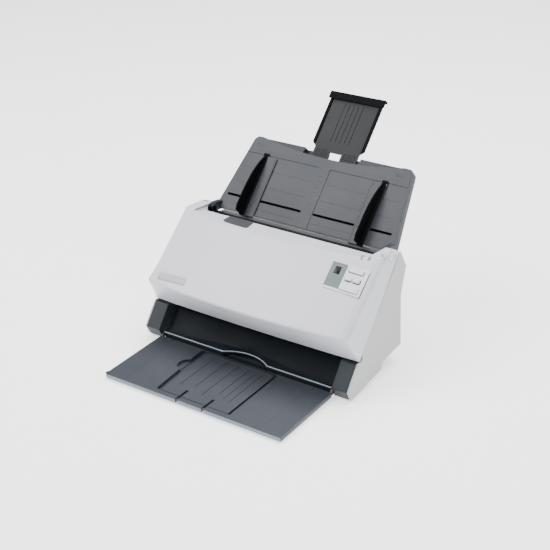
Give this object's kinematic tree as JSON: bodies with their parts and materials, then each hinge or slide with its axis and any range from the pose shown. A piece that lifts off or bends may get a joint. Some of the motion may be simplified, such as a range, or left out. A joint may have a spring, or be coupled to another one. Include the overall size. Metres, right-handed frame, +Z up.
{
  "type": "sheet fed document scanner",
  "caption": "Compact sheet fed document scanner with a bowed white front cover, a folding input tray with sliding guides and extension, and a folding output tray with a flip-out flap.",
  "frame": {"origin": "under the middle of the object's overall depth and width, on the table", "axes": "+X to the right as seen from the front, +Y to the back, +Z up"},
  "size_m": [0.318, 0.4016, 0.2789],
  "materials": {
    "cover_white": "fine satin moulded",
    "case_white": "fine texture",
    "charcoal": "fine texture",
    "ramp_dark": "satin",
    "tray_grey": "fine grain",
    "output_grey": "satin",
    "black_plastic": "satin",
    "silver_trim": "satin",
    "sheet_steel": "zinc plated",
    "shaft_steel": "ground",
    "rubber_grey": "matt",
    "foot_rubber": "matt",
    "nylon": "natural",
    "board_green": "solder mask",
    "brass_pulley": "turned",
    "glass": "clear",
    "label_green": "printed",
    "display_black": "gloss",
    "key_white": "satin",
    "plate_silver": "satin"
  },
  "bodies": {
    "root": {"base_pan": "charcoal", "side_panel_left": "case_white", "side_panel_right": "case_white", "rear_cover": "case_white", "paper_guide": "ramp_dark", "frame_left": "black_plastic", "frame_right": "black_plastic", "arm_left": "charcoal", "arm_right": "charcoal", "exit_ramp": "ramp_dark", "exit_strip": "silver_trim", "rear_sensor_unit": "black_plastic", "rear_sensor_glass": "glass", "shaft_bushings": "nylon", "drive_belt": "rubber_grey", "motor": "sheet_steel", "motor_bracket": "sheet_steel", "main_board": "board_green", "usb_socket": "sheet_steel", "power_jack": "black_plastic", "rubber_feet": "foot_rubber", "case_screws": "shaft_steel"},
    "front_cover": {"cover_shell": "cover_white", "cover_chassis": "ramp_dark", "front_sensor_unit": "black_plastic", "front_sensor_glass": "glass", "separation_pad": "rubber_grey", "panel_bezel": "key_white", "panel_label": "label_green", "display_window": "display_black", "name_plate": "plate_silver", "guide_tab": "tray_grey"},
    "feed_roller": {"feed_roller_shaft": "shaft_steel", "feed_roller_tyre": "rubber_grey"},
    "drive_roller": {"drive_roller_shaft": "shaft_steel", "drive_roller_tyres": "rubber_grey"},
    "exit_roller": {"exit_roller_shaft": "shaft_steel", "exit_roller_tyres": "rubber_grey"},
    "motor_spindle": {"motor_pulley": "brass_pulley"},
    "upper_pinch": {"upper_pinch_rollers": "nylon"},
    "lower_pinch": {"lower_pinch_rollers": "nylon"},
    "switch_rocker": {"power_switch": "black_plastic"},
    "paper_lever": {"paper_flag": "black_plastic"},
    "mode_key": {"button_mode": "key_white"},
    "down_key": {"button_down": "key_white"},
    "up_key": {"button_up": "key_white"},
    "scan_key": {"button_scan": "key_white"},
    "release_key": {"release_button": "cover_white"},
    "input_tray": {"tray_front": "tray_grey", "tray_back": "charcoal"},
    "left_guide": {"guide_left": "black_plastic"},
    "right_guide": {"guide_right": "black_plastic"},
    "guide_pinion": {"rack_pinion": "nylon"},
    "tray_extension": {"extension_plate": "black_plastic", "extension_cap": "black_plastic"},
    "exit_tray": {"output_tray": "output_grey", "output_pins": "shaft_steel"},
    "exit_flap": {"output_flap": "output_grey"}
  },
  "joints": [
    {"name": "front_cover_hinge", "type": "hinge", "parent": "root", "child": "front_cover", "pos_m": [0, -0.06252, 0.05], "axis": [1, 0, 0], "range_deg": [0, 48]},
    {"name": "input_tray_hinge", "type": "hinge", "parent": "root", "child": "input_tray", "pos_m": [0, 0.03698, 0.1455], "axis": [-1, 0, 0], "range_deg": [-67, 0]},
    {"name": "extension_slide", "type": "slide", "parent": "input_tray", "child": "tray_extension", "axis": [0, 0.7071, 0.7071], "range_m": [-0.081, 0]},
    {"name": "left_guide_slide", "type": "slide", "parent": "input_tray", "child": "left_guide", "axis": [-1, 0, 0], "range_m": [-0.05, 0.015]},
    {"name": "right_guide_slide", "type": "slide", "parent": "input_tray", "child": "right_guide", "axis": [1, 0, 0], "range_m": [-0.05, 0.015]},
    {"name": "guide_pinion_spin", "type": "hinge", "parent": "input_tray", "child": "guide_pinion", "pos_m": [0, 0.0681, 0.15388], "axis": [0, -0.7071, 0.7071], "range_deg": [-400, 400]},
    {"name": "output_tray_hinge", "type": "hinge", "parent": "root", "child": "exit_tray", "pos_m": [0, -0.08352, 0.0095], "axis": [1, 0, 0], "range_deg": [-77, 0]},
    {"name": "output_flap_hinge", "type": "hinge", "parent": "exit_tray", "child": "exit_flap", "pos_m": [0, -0.19872, 0.0054], "axis": [1, 0, 0], "range_deg": [0, 176]},
    {"name": "mode_key_press", "type": "slide", "parent": "front_cover", "child": "mode_key", "axis": [-0.0802, 0.6367, -0.7669], "range_m": [0, 0.0008], "stiffness_N_per_m": 600},
    {"name": "down_key_press", "type": "slide", "parent": "front_cover", "child": "down_key", "axis": [-0.0802, 0.6367, -0.7669], "range_m": [0, 0.0008], "stiffness_N_per_m": 600},
    {"name": "up_key_press", "type": "slide", "parent": "front_cover", "child": "up_key", "axis": [-0.0802, 0.6367, -0.7669], "range_m": [0, 0.0008], "stiffness_N_per_m": 600},
    {"name": "scan_key_press", "type": "slide", "parent": "front_cover", "child": "scan_key", "axis": [-0.0802, 0.6367, -0.7669], "range_m": [0, 0.0008], "stiffness_N_per_m": 600},
    {"name": "release_key_press", "type": "slide", "parent": "front_cover", "child": "release_key", "axis": [-1, 0, 0], "range_m": [0, 0.0014], "stiffness_N_per_m": 600},
    {"name": "power_switch_rock", "type": "hinge", "parent": "root", "child": "switch_rocker", "pos_m": [0.04, 0.03268, 0.0355], "axis": [1, 0, 0], "range_deg": [0, 16]},
    {"name": "paper_lever_swing", "type": "hinge", "parent": "root", "child": "paper_lever", "pos_m": [0.06, 0.03175, 0.11669], "axis": [1, 0, 0], "range_deg": [0, 34], "stiffness_Nm_per_rad": 0.002},
    {"name": "feed_roller_spin", "type": "hinge", "parent": "root", "child": "feed_roller", "pos_m": [0, 0.01796, 0.09371], "axis": [1, 0, 0], "continuous": true},
    {"name": "drive_roller_spin", "type": "hinge", "parent": "root", "child": "drive_roller", "pos_m": [0, -0.0029, 0.07921], "axis": [1, 0, 0], "continuous": true},
    {"name": "exit_roller_spin", "type": "hinge", "parent": "root", "child": "exit_roller", "pos_m": [0, -0.03472, 0.04739], "axis": [1, 0, 0], "continuous": true},
    {"name": "motor_spin", "type": "hinge", "parent": "root", "child": "motor_spindle", "pos_m": [-0.134, 0.01549, 0.058], "axis": [1, 0, 0], "continuous": true},
    {"name": "upper_pinch_spin", "type": "hinge", "parent": "front_cover", "child": "upper_pinch", "pos_m": [0, -0.01336, 0.08968], "axis": [1, 0, 0], "continuous": true},
    {"name": "lower_pinch_spin", "type": "hinge", "parent": "front_cover", "child": "lower_pinch", "pos_m": [0, -0.04518, 0.05786], "axis": [1, 0, 0], "continuous": true}
  ],
  "couplings": [
    {"joint": "drive_roller_spin", "follows": "feed_roller_spin", "ratio": 1.6923},
    {"joint": "exit_roller_spin", "follows": "feed_roller_spin", "ratio": 1.6923},
    {"joint": "motor_spin", "follows": "feed_roller_spin", "ratio": 1.8333},
    {"joint": "right_guide_slide", "follows": "left_guide_slide", "ratio": 1},
    {"joint": "guide_pinion_spin", "follows": "left_guide_slide", "rad_per_m": 125}
  ]
}
